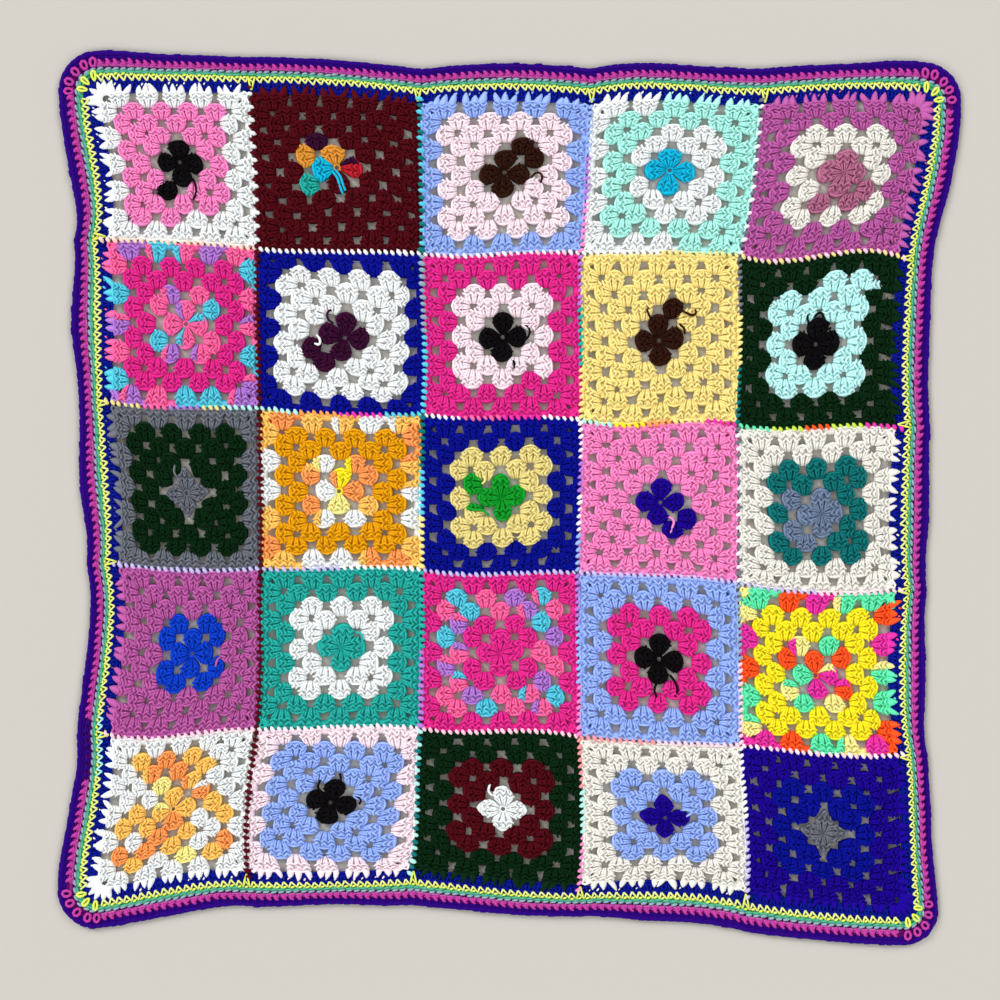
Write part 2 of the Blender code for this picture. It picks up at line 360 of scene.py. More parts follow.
# Dark marks of painted shade in the hollows between the loops: which treble, across, up and height.
HOLLOW_SHADE_MARKS = ((0, -3.0, 5.0, 4.4), (1, 3.0, 5.2, 4.4), (0, -3.1, 9.0, 4.8), (2, 3.0, 8.8, 4.8),
        (0, -5.9, 8.6, 5.6), (2, 5.9, 8.4, 5.6), (1, 0.0, 8.4, 6.0), (0, -3.0, 12.7, 4.9),
        (2, 3.1, 12.5, 4.9), (0, -6.1, 12.3, 5.7), (2, 6.0, 12.5, 5.7), (1, 0.1, 12.4, 6.0))


def hollow_shade_mark():
    """A small three-sided point, the shape of the hole between two loops, for a dark mark of painted shade.
    """
    bpy.ops.object.select_all(action="DESELECT")
    bpy.ops.mesh.primitive_cone_add(vertices=3, radius1=1.0, depth=1.0)
    return taken()


def three_trebles(chance):
    """A group of three trebles: the soft body, and the posts, V loops and top chain on it.

    Returns the body's points and its faces in each of the three yarns, then the loops' points,
    their faces and the faces of the dark marks of painted shade in the hollows between them."""
    bpy.ops.object.select_all(action="DESELECT")
    across, up = len(COLUMN_PLACES) - 1, len(ROW_PLACES) - 1
    bpy.ops.mesh.primitive_grid_add(x_subdivisions=across, y_subdivisions=up, size=2)
    bpy.ops.object.mode_set(mode="EDIT")
    bpy.ops.mesh.select_mode(type="EDGE")
    bpy.ops.mesh.select_all(action="SELECT")
    bpy.ops.mesh.region_to_loop()
    bpy.ops.mesh.edge_face_add()
    bpy.ops.object.mode_set(mode="OBJECT")
    made = bpy.context.object
    mesh = made.data
    points = []
    for vertex in mesh.vertices:
        i, j = round((vertex.co.x + 1) * across / 2), round((vertex.co.y + 1) * up / 2)
        inner = 0 < i < across and 0 < j < up
        points.append((COLUMN_PLACES[i] * CLUSTER_HALF, ROW_PLACES[j] * CLUSTER_LENGTH,
                       ROW_HEIGHTS[j][i] + (chance.normal(0, 0.2) if inner else 0)))
    by_yarn = [[], [], []]
    for face in mesh.polygons:
        corners = list(face.vertices)
        if len(corners) > 4:
            below = np.array([corners])
            if face.normal.z > 0:
                below = below[:, ::-1]
            continue
        if face.normal.z < 0:
            corners = corners[::-1]
        by_yarn[int(face.center.x > -YARN_BOUND) + int(face.center.x > YARN_BOUND)].append(corners)
    bpy.data.objects.remove(made, do_unlink=True)
    body_faces = [[np.array(by_yarn[0])], [np.array(by_yarn[1]), below], [np.array(by_yarn[2])]]
    loops, faces, hollow_shade_marks, count = [], [[], [], []], [[], [], []], 0

    def jitter(size=0.4):
        return chance.normal(0, size)

    def lay(made_strand, groups, yarn):
        nonlocal count
        loops.append(made_strand[0])
        groups[yarn].append(made_strand[1] + count)
        count += len(made_strand[0])

    for yarn, middle in enumerate(TREBLES):
        for aside in (-1.4, 1.4):  # the post's two strands
            lay(strand(((middle * 0.9 + aside * 0.6, 0.0, 3.4, 0.8),
                        (middle + aside + jitter(0.2), 6.8 + jitter(), 5.5, 0.9)), LOOP_THICKNESS),
                faces, yarn)
        # two V loops, one above the other
        lay(strand(((middle - 2.9 + jitter(), 9.9 + jitter(), 4.9, 0.8),
                    (middle + jitter(0.6), 6.9 + jitter(), 6.3, 1.0),
                    (middle + 2.9 + jitter(), 9.7 + jitter(), 4.9, 0.8)), LOOP_THICKNESS), faces, yarn)
        lay(strand(((middle - 3.0 + jitter(), 13.9 + jitter(), 4.8, 0.85),
                    (middle + jitter(0.6), 10.7 + jitter(), 6.6, 1.05),
                    (middle + 3.0 + jitter(), 13.7 + jitter(), 4.8, 0.85)), LOOP_THICKNESS), faces, yarn)
    # Each mark sits on the loops in the darkest copy of its treble's yarn: painted shade where the hollows
    # between loops lie.
    for yarn, x, y, z in HOLLOW_SHADE_MARKS:
        points_of, faces_of = HOLLOW_SHADE_MARK
        wide, high = swung(points_of[:, 0], points_of[:, 1], chance.uniform(0, 6.3))
        size = 1.0 + abs(jitter(0.3))
        lay((np.stack([x + jitter() + size * wide, y + jitter() + size * 1.3 * high,
                       z + 0.6 + points_of[:, 2]], -1), faces_of), hollow_shade_marks, yarn)
    # the chain across the top
    lay(strand(((-8.2, 13.6, 3.4, 0.8), (-4.6, 15.2 + jitter(), 4.5, 1.0), (0.2, 15.7 + jitter(), 4.8, 1.0),
                (4.7, 15.1 + jitter(), 4.5, 1.0), (8.2, 13.5, 3.4, 0.8)), LOOP_THICKNESS), faces, 1)
    return (np.array(points), body_faces), (np.concatenate(loops), faces, hollow_shade_marks)


def edge_band(chance):
    """The last round's chain between two groups, with the loops that the seam goes through."""
    return joined(flattened(strand(((-7.0, -3.6, 2.6, 1), (7.0, -3.6, 2.6, 1)), 7.4), 0.5),
                  strand(((-7.2, -3.8, 3.6, 0.8), (-3.0, -1.2 + chance.normal(0, 0.6), 4.4, 1.0),
                          (1.0, -3.6 + chance.normal(0, 0.6), 4.6, 1.0), (4.2, -1.4, 4.4, 0.9),
                          (7.2, -3.4, 3.4, 0.8)), 2.6))


def legs(foot, top, spread, thickness, height):
    """The two legs of a border stitch: together at the foot, apart at the top."""
    both = []
    for side in (-1, 1):
        both.append(strand(((side * 0.2, foot, height - 0.9, 0.8),
                            (side * 0.58 * spread, (foot + top) / 2, height, 1.0),
                            (side * spread, top, height - 0.8, 0.85)), thickness))
    return joined(*both)


def bar(near, far, thickness, height, half=3.8):
    """A strand of a round's top chain, slanting from near at its start to far at its end."""
    return strand(((-half, near, height - 0.8, 0.8),
                   (-half * 0.35, near * 0.6 + far * 0.4, height, 1.0),
                   (half * 0.35, near * 0.4 + far * 0.6, height, 1.0),
                   (half, far, height - 0.8, 0.8)), thickness)


def zigzag(outer, tip, thickness, height):
    """One stitch of a drawn-out zigzag: a long leg in to the tip and a short one back."""
    return joined(strand(((-3.9, outer, height - 0.6, 0.9), (-0.8, outer * 0.4 + tip * 0.6, height, 1.0),
                          (1.3, tip, height + 0.2, 1.05)), thickness),
                  strand(((1.4, tip, height + 0.1, 1.05), (2.4, outer * 0.5 + tip * 0.5, height, 1.0),
                          (3.2, outer, height - 0.6, 0.9)), thickness))


def blob(out, thickness, height):
    """A short fat bit of yarn between two legs of the zigzag."""
    return strand(((-1.6, out - 1.0, height - 0.8, 0.6), (0.2, out, height, 1.0),
                   (1.8, out + 0.8, height - 0.8, 0.6)), thickness)


def corner_loop(half_width, half_length, thickness):
    """A long open loop, where the stitches fan out round a corner."""
    return strand([(half_width * math.cos(a), half_length * math.sin(a), 4.8, 1)
                   for a in np.linspace(-math.pi / 2, 1.5 * math.pi, 9)], thickness)


CHANCE = np.random.default_rng(25)
HOLLOW_SHADE_MARK = hollow_shade_mark()
CLUSTERS = [three_trebles(CHANCE) for _ in range(6)]
# A magenta top loop, drawn out to a hooked point by the last round.
FLAME = joined(strand(((0.6, -0.6, 3.8, 1.0), (0.7, 1.8, 4.9, 1.25), (-0.3, 3.6, 4.9, 1.0),
                       (-2.0, 5.0, 4.2, 0.5)), 3.1),
               strand(((-2.2, -0.8, 3.6, 1.0), (-1.5, 1.4, 4.6, 1.0), (-0.4, 3.2, 4.7, 0.8)), 2.0))
LOOP = corner_loop(2.6, 3.6, 2.6)
LONG_LOOP = corner_loop(1.8, 4.2, 2.3)
SPIKE = legs(-9.0, 4.0, 3.2, 1.7, 6.2)
# One strand of a chain stitch, about 10 mm long along x.
CHAIN_HALF = 5.2
CHAIN = strand(((-CHAIN_HALF, -0.6, 1.4, 0.8), (-1.6, 0.5, 2.0, 1.0), (1.6, 0.5, 2.0, 1.0),
                (CHAIN_HALF, -0.6, 1.4, 0.8)), 2.6)
EDGE_BANDS = [edge_band(CHANCE) for _ in range(4)]
# The chain round a corner of the last round, measured from the corner.
EDGE_CORNER = joined(
    flattened(strand(((-17, -4.4, 2.6, 1), (-7, -5.4, 2.6, 1), (-5.4, -7, 2.6, 1),
                      (-4.4, -17, 2.6, 1)), 10.5), 0.42),
    strand(((-14, -2.4, 3.4, 0.8), (-10, -4.6, 4.8, 1.0), (-6, -1.9, 4.9, 1.0), (-2.6, -3.4, 5.0, 1.0),
            (-4.4, -7.4, 4.8, 1.0), (-1.9, -10.6, 4.8, 1.0), (-3.4, -14, 3.4, 0.8)), 2.6),
    strand(((-13, -8.0, 3.4, 0.8), (-9.4, -6.4, 4.8, 1.0), (-7, -9.2, 4.8, 1.0),
            (-8.2, -13, 3.4, 0.8)), 2.5))
# A stitch's top loop drawn out to a point along y by the stitch worked into it.
TOOTH = flattened(strand(((0, -1.8, 4.4, 0.9), (0.1, 1.8, 4.4, 1.1), (0.1, 4.8, 4.4, 0.8),
                          (0.3, 7.4, 4.4, 0.22)), 5.2), 0.6)
# A bit of a square's yarn that shows between two stitches of the border's first round.
SPECK = strand(((-0.6, -1.0, 4.4, 0.6), (0.0, 0.1, 5.0, 1.0), (0.5, 1.1, 4.4, 0.6)), 1.6)
# A thick whip stitch over a seam that runs along x, and a thinner one that slants the other way.
WHIP = strand(((-0.9, -3.0, 3.4, 0.6), (-0.4, -1.3, 6.0, 1.0), (0.4, 1.3, 6.0, 1.0),
               (0.9, 3.0, 3.4, 0.6)), 3.9)
FINE_WHIP = strand(((1.5, -2.5, 3.4, 0.6), (0.8, -1.0, 5.8, 1.0), (-0.8, 1.0, 5.8, 1.0),
                    (-1.5, 2.5, 3.4, 0.7)), 3.3)


class Knitwork:
    """Gathers copies of stitches, each in its yarn, and makes one mesh of them."""

    def __init__(self):
        self.points, self.faces, self.yarns, self.count = [], [], [], 0

    def add(self, points, faces, yarn):
        """One stitch in one yarn, or a stitch whose faces come as a list for each of its yarns."""
        groups = [(faces, yarn)] if isinstance(yarn, str) else [
            (part, y) for parts, y in zip(faces, yarn) for part in parts]
        self.points.append(points)
        for part, name in groups:
            self.faces.append(part + self.count)
            self.yarns.append((name, len(part)))
        self.count += len(points)

    def finish(self, name):
        points = np.concatenate(self.points)
        points[:, :2] -= ORIGIN
        points[:, 2] = np.maximum(points[:, 2], 0.05)
        faces = [face for part in self.faces for face in part.tolist()]
        names = sorted({yarn for yarn, _ in self.yarns})
        mesh = bpy.data.meshes.new(name)
        mesh.from_pydata((points * MM).tolist(), [], faces)
        for yarn in names:
            mesh.materials.append(yarn_material(yarn))
        index = np.concatenate([np.full(n, names.index(yarn)) for yarn, n in self.yarns])
        mesh.polygons.foreach_set("material_index", index.astype(np.int32))
        mesh.shade_smooth()
        piece = bpy.data.objects.new(name, mesh)
        bpy.context.scene.collection.objects.link(piece)
        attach(piece, "root")
        return piece


# ---------------------------------------------------------------- the squares' colours

# Rounds 1 to 5 of each square. The first word is the round's yarn; after it come single clusters
# or whole sides in other yarns. a/b changes from a to b within the cluster. Sides N and S are
# counted from the left, E and W from the top.
CHARTS = {
    (1, 1): ("black", "pink; S1 black", "pink",
             "pink; E white; S3 white; S4 white", "white"),
    (1, 2): ("turquoise; N gold; E plum/red; S burgundy", "burgundy; N1 plum; W1 gold; W2 sea_green",
             "burgundy", "burgundy", "burgundy"),
    (1, 3): ("brown", "pale_pink; N2 brown; E1 brown", "pale_pink", "pale_pink", "periwinkle"),
    (1, 4): ("turquoise", "white", "white; W mint; N1 mint; S1 mint", "mint",
             "mint; W white; S white, white, white, mint, mint;"
             "N white, white, mint, mint, mint"),
    (1, 5): ("dusty_rose", "off_white; E2 dusty_rose; S dusty_rose", "off_white",
             "orchid", "orchid"),
    (2, 1): ("coral; N lilac/coral; E aqua/coral; S aqua/coral",
             "coral; N1 coral/lilac; E1 aqua; S coral/lilac, lilac/coral; W2 aqua", "hot_pink", "hot_pink",
             "coral; N lilac, coral/aqua, aqua/coral, lilac, coral;"
             "E aqua, coral, lilac/coral, aqua, coral/lilac;"
             "S coral/lilac, coral, aqua, aqua, coral/lilac; W coral, aqua, coral/lilac, coral, aqua"),
    (2, 2): ("plum", "white; W2 plum; S1 plum", "white", "white", "royal_blue"),
    (2, 3): ("black", "pale_pink", "pale_pink; S3 hot_pink", "hot_pink", "hot_pink"),
    (2, 4): ("brown", "butter; N2 brown", "butter", "butter", "butter"),
    (2, 5): ("black", "pale_aqua", "pale_aqua",
             "dark_green; N3 pale_aqua; N4 pale_aqua; E1 pale_aqua/dark_green", "dark_green"),
    (3, 1): ("grey", "dark_green", "dark_green", "dark_green", "grey"),
    (3, 2): ("orange; N orange/yellow; S pale_yellow; W white",
             "orange; N pale_yellow/white, yellow/orange; E2 golden; S golden/white, white;"
             "W golden/orange, orange", "mustard", "mustard",
             "white; N orange, golden, white/golden, white, white/golden;"
             "E orange, orange/golden, golden/white, white, golden;"
             "S golden, white, white, golden/orange, orange; W golden, white, white, golden, orange"),
    (3, 3): ("green", "cream; W1 green; W2 green/cream", "cream", "royal_blue", "royal_blue"),
    (3, 4): ("violet", "pink; E2 violet; S2 violet", "pink", "pink", "pink"),
    (3, 5): ("slate", "teal; W slate; S1 slate", "teal", "off_white", "off_white"),
    (4, 1): ("bright_blue", "bright_blue", "orchid", "orchid", "orchid"),
    (4, 2): ("sea_green", "white", "white", "sea_green", "sea_green"),
    (4, 3): ("hot_pink", "hot_pink",
             "coral; N aqua, coral, coral/lilac; E aqua, coral, lilac; S lilac, coral, aqua/coral;"
             "W coral/lilac, lilac/coral, aqua/coral",
             "coral; N aqua, coral, lilac, coral/aqua; E coral, lilac, coral, aqua;"
             "S coral, aqua, coral, lilac/coral; W coral, aqua, coral/lilac, coral", "hot_pink"),
    (4, 4): ("black", "hot_pink", "hot_pink", "periwinkle", "periwinkle"),
    (4, 5): ("magenta; N neon_orange; W neon_mint; E pale_yellow/magenta",
             "magenta; N magenta/pale_yellow, neon_mint; E neon_orange, magenta/neon_orange;"
             "S neon_mint, pale_yellow; W neon_orange, neon_mint/pale_yellow", "yellow", "yellow",
             "neon_mint; N neon_mint, neon_orange, magenta, pale_yellow/neon_mint, neon_mint;"
             "E neon_orange, magenta, pale_yellow/neon_mint, neon_mint, neon_orange;"
             "S magenta, neon_orange, neon_mint, neon_mint/pale_yellow, magenta;"
             "W neon_mint/pale_yellow, magenta, neon_orange, neon_mint, neon_mint/pale_yellow"),
    (5, 1): ("golden; S orange; W pale_yellow/golden",
             "orange; N pale_yellow, orange/golden; E white/orange, white; S orange, golden;"
             "W white, golden",
             "golden; N golden/orange, orange, golden; E white, golden, white; S orange, golden, white;"
             "W white, golden, white",
             "golden; N golden, orange, golden, white; E white, white, golden, orange;"
             "S golden, white, pale_yellow, golden; W white, white, golden, orange", "white"),
    (5, 2): ("black", "periwinkle", "periwinkle", "periwinkle", "pale_pink"),
    (5, 3): ("white", "burgundy", "burgundy", "dark_green", "dark_green"),
    (5, 4): ("violet", "periwinkle", "periwinkle", "off_white", "off_white"),
    (5, 5): ("grey", "royal_blue", "royal_blue", "violet", "violet"),
}
SIDES = "NESW"
AROUND = (("N", "E"), ("E", "S"), ("S", "W"), ("W", "N"))  # each side and the next, clockwise

# How far each square's middle was pulled off centre, right and up, and how far it is turned.
PULLS = {
    (1, 1): (-1, 4, 0), (1, 2): (-1, 5, 8), (1, 3): (0, 4, 0), (1, 4): (-1, 5, 0), (1, 5): (8, 4, -6),
    (2, 1): (2, 1, 0), (2, 2): (3, -4, -14), (2, 3): (0, -1, -4), (2, 4): (-1, -2, 4), (2, 5): (-1, -2, -4),
    (3, 1): (-3, -4, 0), (3, 2): (-2, 0, 0), (3, 3): (1, -2, 4), (3, 4): (1, -3, -6), (3, 5): (6, -4, 6),
    (4, 1): (2, -1, 0), (4, 2): (0, 0, -3), (4, 3): (0, 0, 0), (4, 4): (0, 0, -4), (4, 5): (0, -2, 6),
    (5, 1): (-3, -2, 5), (5, 2): (-2, -2, -16), (5, 3): (3, -3, -4), (5, 4): (1, -6, 0),
    (5, 5): (-1, -5, -6),
}
# Squares in a fuller yarn, with smaller gaps, and how much wider their groups are.
FULLER = {(1, 2): 1.09, (2, 5): 1.09, (3, 1): 1.09, (4, 1): 1.05, (5, 3): 1.08, (5, 5): 1.1}
# Squares whose middle ring was drawn shut.
DRAWN_SHUT = {(1, 5), (3, 3), (3, 5), (4, 2), (4, 3), (5, 5)}
# Squares whose first round was pulled into a four-pointed star, and how far.
STARS = {(3, 1): 1.0, (5, 5): 1.0, (5, 3): 0.5, (5, 4): 0.5, (3, 3): 0.2}
# Yarn ends left loose near the middles: square, yarn, route from the square's centre.
TAILS = (
    ((1, 1), "black", ((11, -12), (13.5, -19), (13.5, -27), (10, -33))),
    ((1, 2), "turquoise", ((-6, 2), (-1, -5), (1, -12), (3.5, -20))),
    ((1, 2), "turquoise", ((-3, 3), (2, -4), (4, -11), (6, -17))),
    ((1, 3), "brown", ((24, -2), (30, 2.5), (34, 0), (33, -7))),
    ((2, 2), "plum", ((-7, 9), (-11.6, 14), (-10.4, 20), (-8, 21))),
    ((2, 2), "white", ((-22, -2), (-19, -7), (-20, -11), (-24, -10))),
    ((2, 3), "black", ((21, 10), (25.5, 6), (25, -1), (21, -5))),
    ((2, 3), "black", ((8, -22), (11, -26), (10, -30))),
    ((2, 4), "brown", ((14, 28), (22, 23), (29, 20), (33, 21), (33, 25))),
    ((2, 4), "brown", ((-10, 30), (-12, 24), (-9, 18))),
    ((2, 4), "brown", ((18, 12), (22, 8), (23, 3))),
    ((2, 5), "black", ((-8, 14), (-10, 20), (-10.5, 26))),
    ((2, 5), "black", ((-4, 22), (2, 25), (5, 20), (4, 14))),
    ((3, 1), "grey", ((-11, 10), (-14, 15), (-13, 22))),
    ((3, 3), "green", ((-34, -9), (-26, -12.5), (-18, -13), (-11, -18))),
    ((3, 3), "cream", ((-18, 22), (-15, 16), (-18, 12))),
    ((3, 4), "pink", ((8, -16), (13.5, -21), (12.5, -27), (11, -33))),
    ((3, 4), "pink", ((26, 14), (30, 18), (35, 15))),
    ((4, 1), "orchid", ((33, -5), (30, -8), (28, -15))),
    ((4, 2), "sea_green", ((13, 14), (18, 13), (20, 8), (18.5, 0))),
    ((4, 4), "black", ((-3, -22), (-5, -28), (-3, -34))),
    ((4, 4), "black", ((10, -14), (14, -20), (16, -27), (14, -33))),
    ((5, 2), "black", ((-10, 9), (-13.5, 15), (-12, 22))),
    ((5, 2), "black", ((3, 18), (6.5, 22), (5, 28))),
    ((5, 2), "black", ((20, 4), (25, 1), (24, -4))),
    ((5, 3), "white", ((-6, 10), (-10, 15), (-9, 22))),
    ((5, 3), "white", ((-3, 12), (-3, 18), (1, 19), (5, 16))),
    ((5, 4), "periwinkle", ((15, 2), (20, 4.5), (25, 3), (20, -3))),
)


def chart_round(text, number):
    """The yarns of one round as {side: [three yarns for each cluster]}."""
    entries = [entry.strip() for entry in text.split(";") if entry.strip()]
    clusters = {side: [entries[0]] * number for side in SIDES}
    for entry in entries[1:]:
        where, yarns = entry.split(" ", 1)
        yarns = [yarn.strip() for yarn in yarns.split(",")]
        if len(where) == 1:
            clusters[where] = yarns if len(yarns) == number else yarns * number
        else:
            clusters[where[0]] = list(clusters[where[0]])
            clusters[where[0]][int(where[1]) - 1] = yarns[0]
    worked = {}
    for side, row in clusters.items():
        worked[side] = []
        for name in row:
            first, _, last = name.partition("/")
            worked[side].append((first, last or first, last or first))
    return worked


def turned(side, along, out):
    """A side's along and outward distances as x and y on the square."""
    return {"N": (along, out), "E": (out, -along), "S": (-along, -out), "W": (-out, along)}[side]


# How wide the groups are, up from the foot: share of the length, half width.
ROUND_OUTLINE = ((0, 6.3), (0.15, 8.5), (0.5, 10.0), (0.85, 9.6), (1, 8.2))
LAST_OUTLINE = ((0, 6.3), (0.15, 8.5), (0.5, 10.0), (0.8, 10.6), (1, 11.3))
PETAL_OUTLINE = ((0, 2.8), (0.2, 6.6), (0.4, 9.3), (0.75, 10.2), (1, 7.8))
STAR_OUTLINE = ((0, 3.2), (0.2, 7.0), (0.45, 8.6), (0.8, 5.0), (1, 2.6))


ROUND_FOOT = 1.2  # how far past the last round's gaps a round's groups start
ROUND_TOP = 7.2  # how far past its own gaps they end
FIRST_FOOT = 2.6
SHUT_BY = 1.8  # how much nearer the middle the first round starts where the ring is drawn shut
STAR_PULL = 3.6  # how much nearer the middle the second round starts round a star
EDGE_BACK = 2.0  # how much shorter the groups on the blanket's edge are
CORNER_FOOT = 0.8  # how much further out a corner's groups start
TREBLE_SPACING = 7.2  # between the tops of a group's trebles
TOOTH_FOOT = 71.0
SPECK_ASIDE = 3.5
SPECK_OUT = 79.5
FAN_DEGREES = (-12, 10, 33, 56, 79, 102)  # the drawn-out loops round the blanket's corners
FAN_MIDDLE = 65.5
FAN_RADIUS = 7
RING_RADIUS = 3.2
SHUT_RING_RADIUS = 1.4


def cluster_points(points, outline, foot, length, rounding):
    """A group's points laid in their place: along, out and height."""
    share = np.clip(points[:, 1] / CLUSTER_LENGTH, -0.05, 1.1)
    half = np.interp(share, [row[0] for row in outline], [row[1] for row in outline])
    place = points[:, 0] / CLUSTER_HALF
    out = foot + length * share - rounding * place ** 2 * share ** 2
    return np.stack([place * half, out, points[:, 2]], -1)


def even(outline):
    """An outline's rows at even shares, so that two outlines can be mixed."""
    shares = [row[0] for row in outline]
    return [(t, np.interp(t, shares, [row[1] for row in outline])) for t in np.linspace(0, 1, 11)]


def cluster_middles(number):
    """Where a round's clusters stand along a side: at their feet and at their tops."""
    if number == 1:
        return [(0.0, 0.0)]
    feet = GAP_RADIUS[number - 1] - 1.5
    tops = GAP_RADIUS[number] - 14.0
    return [(feet * s, tops * s) for s in np.linspace(-1, 1, number)]


def corner_chain(top):
    """The points of the chain that bends round a round's corner."""
    bend = CHAIN[0][:, 0] / CHAIN_HALF
    reach = top - 2.2
    along = reach - 9.5 + 9.0 * np.clip(1 + bend, 0, 1.15)
    out = reach - 9.0 * np.clip(bend, 0, 1.0)
    thick = CHAIN[0][:, 1] * 0.5
    return np.stack([along + thick, out + thick, CHAIN[0][:, 2]], -1)


def draw_out_edge(put, yarn_rows, outer_sides):
    """The loops that the border's first round draws out of a square on the blanket's edge."""
    for side in SIDES:
        if not outer_sides[side]:
            continue
        for i in range(5):
            flip = 1 if side in "NE" else -1
            middle = cluster_middles(5)[i][1] * flip
            for place in (-1, 0, 1):
                yarn = yarn_rows[side][i][place * flip + 1]
                along = middle + place * TREBLE_SPACING + CHANCE.normal(0, 0.5)
                slant = place * 0.12 + CHANCE.normal(0.06, 0.26)
                size = (1.15, 1.2, 1) + CHANCE.normal(0, 0.12, 3) * (1, 1, 0.4)
                points = TOOTH[0] * size
                points[:, 0] += along + slant * points[:, 1]
                points[:, 1] += TOOTH_FOOT
                put(side, points, TOOTH[1], yarn)
                if CHANCE.random() < 0.5:
                    points = SPECK[0] * (1 + CHANCE.normal(0, 0.2))
                    points[:, 2] = SPECK[0][:, 2]
                    points[:, 0] += along + SPECK_ASIDE
                    points[:, 1] += SPECK_OUT + CHANCE.normal(0, 0.6)
                    put(side, points, SPECK[1], yarn)
    for side, beyond in AROUND:
        if not (outer_sides[side] and outer_sides[beyond]):
            continue
        yarn = yarn_rows[side][4 if side in "NE" else 0][1]
        for degrees in FAN_DEGREES:
            points = TOOTH[0] * (1.3, 1.75, 1)
            swing = math.radians(degrees + CHANCE.normal(0, 3))
            x, y = swung(points[:, 0], points[:, 1], -swing)
            points[:, 0] = FAN_MIDDLE + FAN_RADIUS * math.sin(swing) + x
            points[:, 1] = FAN_MIDDLE + FAN_RADIUS * math.cos(swing) + y
            put(side, points, TOOTH[1], yarn)


def add_square(row, column):
    """One granny square: its rounds of groups and chains, its edge, its ring and its yarn ends."""
    bodies, loops = Knitwork(), Knitwork()
    square = (row + 1, column + 1)
    chart = CHARTS[square]
    star = STARS.get(square, 0)
    fuller = FULLER.get(square, 1.0)
    outer_sides = {"N": row == 0, "S": row == ROWS - 1, "W": column == 0, "E": column == COLUMNS - 1}

    def put(side, points, faces, yarn, work=loops):
        x, y = turned(side, points[:, 0], points[:, 1])
        flat = on_square(row, column, x, y)
        work.add(np.column_stack([flat, points[:, 2]]), faces, yarn)

    petal = [(share, wide + (narrow - wide) * star)
             for (share, wide), (_, narrow) in zip(even(PETAL_OUTLINE), even(STAR_OUTLINE))]
    for number in range(1, 6):
        worked = chart_round(chart[number - 1], number)
        whole = GAP_RADIUS[number] + ROUND_TOP
        foot = FIRST_FOOT if number == 1 else GAP_RADIUS[number - 1] + ROUND_FOOT
        foot -= SHUT_BY if number == 1 and square in DRAWN_SHUT else 0
        foot -= STAR_PULL * star if number == 2 else 0
        for side in SIDES:
            flip = 1 if side in "NE" else -1
            drawn = number == 5 and outer_sides[side]
            top = whole - EDGE_BACK if drawn else whole
            for i, (foot_middle, top_middle) in enumerate(cluster_middles(number)):
                yarns = worked[side][i]
                foot_middle, top_middle = foot_middle * flip, top_middle * flip
                tilt = (top_middle - foot_middle) / (top - foot) + CHANCE.normal(0, 0.05)
                at_corner = number > 1 and i in (0, number - 1)
                foot_here = foot + CHANCE.normal(0, 0.3) + (CORNER_FOOT if at_corner else 0)
                swell = (fuller + CHANCE.normal(0, 0.04), 1, 1 + CHANCE.normal(0, 0.04))
                aside = foot_middle + CHANCE.normal(0, 0.5)
                outline = {1: petal, 5: LAST_OUTLINE}.get(number, ROUND_OUTLINE)
                rounding = 3.0 if number < 5 else 0.8
                order = [yarns[place * flip + 1] for place in (-1, 0, 1)]
                body, (loop_points, loop_faces, hollow_shade_marks) = CLUSTERS[CHANCE.integers(len(CLUSTERS))]
                # The body and the marks in the hollows take darker copies of the yarns: painted shade.
                body_yarns = [name + " body" for name in order]
                loop_yarns = order + [name + " deep" for name in order]
                for points, faces, names, work in ((*body, body_yarns, bodies),
                                                   (loop_points, loop_faces + hollow_shade_marks, loop_yarns, loops)):
                    points = cluster_points(points, outline, foot_here, top - foot_here, rounding) * swell
                    points[:, 0] += aside + (points[:, 1] - foot) * tilt
                    put(side, points, faces, names, work)
                # the chain from this cluster to the next
                if i < number - 1 and not drawn:
                    beyond = cluster_middles(number)[i + 1][1] * flip
                    chain, low = CHAIN, 3.0
                    if number == 5:
                        chain, low = EDGE_BANDS[CHANCE.integers(len(EDGE_BANDS))], 0.0
                    put(side, chain[0] + ((top_middle + beyond) / 2, top - low, 0), chain[1], yarns[2])
        for side, beyond in AROUND:
            yarn = worked[side][-1 if side in "NE" else 0][1]
            if number < 5:
                put(side, corner_chain(whole), CHAIN[1], yarn)
            elif not (outer_sides[side] and outer_sides[beyond]):
                put(side, EDGE_CORNER[0] + (whole, whole, 0), EDGE_CORNER[1], yarn)
    draw_out_edge(put, chart_round(chart[4], 5), outer_sides)
    size = SHUT_RING_RADIUS if square in DRAWN_SHUT else RING_RADIUS
    ring = strand([(size * math.cos(a), size * math.sin(a), 3.0, 1)
                   for a in np.linspace(0, 2 * math.pi, 9)], 2.4)
    put("N", ring[0], ring[1], chart_round(chart[0], 1)["N"][0][1])
    for where, yarn, route in TAILS:
        if where != square:
            continue
        heights = [3.5] + [6.6] * (len(route) - 2) + [5.2]
        tail = strand([(x, y, z, 1) for (x, y), z in zip(route, heights)], 2.2, steps=4)
        flat = on_square_plain(row, column, tail[0][:, 0], tail[0][:, 1])
        loops.add(np.column_stack([flat, tail[0][:, 2]]), tail[1], yarn)
    name = f"square_r{row + 1}_c{column + 1}"
    piece, over = bodies.finish(name + "_crochet"), loops.finish(name + "_loops")
    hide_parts(name)


# ---------------------------------------------------------------- the border

ROUNDS = {
    "border_blue": (0.00, 0.28, 9.2),
    "border_yellow": (0.28, 0.455, 5.8),
    "border_green": (0.455, 0.585, 4.3),
    "border_magenta": (0.585, 0.775, 6.2),
    "border_violet": (0.775, 1.00, 7.4),
}
